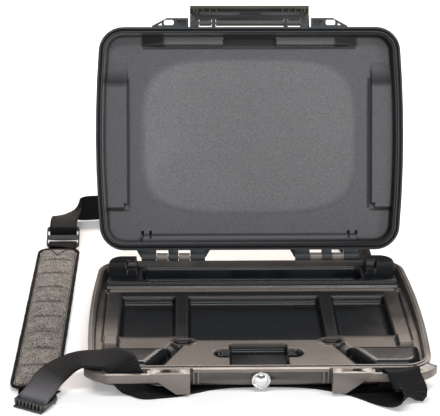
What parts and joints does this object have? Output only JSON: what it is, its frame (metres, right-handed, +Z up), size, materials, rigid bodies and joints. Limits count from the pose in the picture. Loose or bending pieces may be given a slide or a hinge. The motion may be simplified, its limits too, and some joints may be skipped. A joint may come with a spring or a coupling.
{
  "type": "laptop hard case",
  "caption": "Clam-shell hard case for a laptop with two rear hinges, a wide centre latch, a moulded tray with pockets, a padded lid liner and a shoulder strap.",
  "frame": {"origin": "centre of the flat face under the base, on the line between the front and rear walls' middles", "axes": "+Z up, -Y towards the latch side, +Y towards the hinges, +X to the right of someone facing the open case"},
  "size_m": [0.4815, 0.5437, 0.3351],
  "materials": {
    "shell": "fine texture, satin",
    "liner": "smooth moulded, satin",
    "lid_liner": "fine grained, matt",
    "seal": "matt",
    "latch": "satin",
    "pin": "satin",
    "valve_metal": "polished",
    "membrane": "matt",
    "webbing": "ribbed weave",
    "cushion": "speckled grip cloth",
    "binding": "woven tape",
    "buckle": "satin gloss"
  },
  "bodies": {
    "base": {"base_shell": "shell", "base_liner": "liner", "hinge_pin_left": "pin", "hinge_pin_right": "pin", "valve_body": "valve_metal", "valve_cap": "valve_metal", "valve_seal": "seal", "valve_nut": "pin", "valve_membrane": "membrane", "strap_pad": "cushion", "pad_binding": "binding", "pad_webbing": "webbing", "strap_adjuster": "buckle", "ladder_lock": "buckle", "strap_webbing": "webbing"},
    "lid": {"lid_shell": "shell", "lid_liner": "lid_liner", "lid_seal": "seal", "latch_pin": "pin"},
    "latch": {"latch_jaw": "latch", "lever_pin": "pin"},
    "lever": {"latch_lever": "latch"}
  },
  "joints": [
    {"name": "lid_hinge", "type": "hinge", "parent": "base", "child": "lid", "pos_m": [0, 0.1536, 0.03], "axis": [1, 0, 0], "range_deg": [0, 109.5], "deforming": ["strap_webbing"]},
    {"name": "latch_hinge", "type": "hinge", "parent": "lid", "child": "latch", "pos_m": [0, 0.26043, 0.31371], "axis": [1, 0, 0], "range_deg": [0, 90]},
    {"name": "lever_hinge", "type": "hinge", "parent": "latch", "child": "lever", "pos_m": [0, 0.26572, 0.31905], "axis": [1, 0, 0], "range_deg": [-35, 0]}
  ]
}
